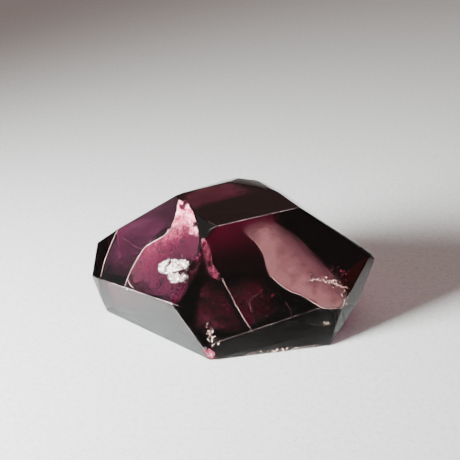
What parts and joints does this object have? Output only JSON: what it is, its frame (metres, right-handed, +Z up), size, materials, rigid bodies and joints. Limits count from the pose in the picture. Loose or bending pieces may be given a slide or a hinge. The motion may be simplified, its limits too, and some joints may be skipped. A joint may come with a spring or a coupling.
{
  "type": "garnet crystal",
  "caption": "Loose dark red garnet, ground and polished to irregular flat facets, that rests on a flat base as a display or specimen stone.",
  "frame": {"origin": "middle of the stone's outline seen from above, on the plane it rests on", "axes": "+Z up, out of the table on top; +X along the long side towards the sharper right end; the broad front facet looks towards -Y"},
  "size_m": [0.0446, 0.0286, 0.0211],
  "materials": {
    "garnet": "polished, deep wine red, glassy lustre, with fractures inside"
  },
  "bodies": {
    "root": {"crystal": "garnet"}
  },
  "joints": []
}
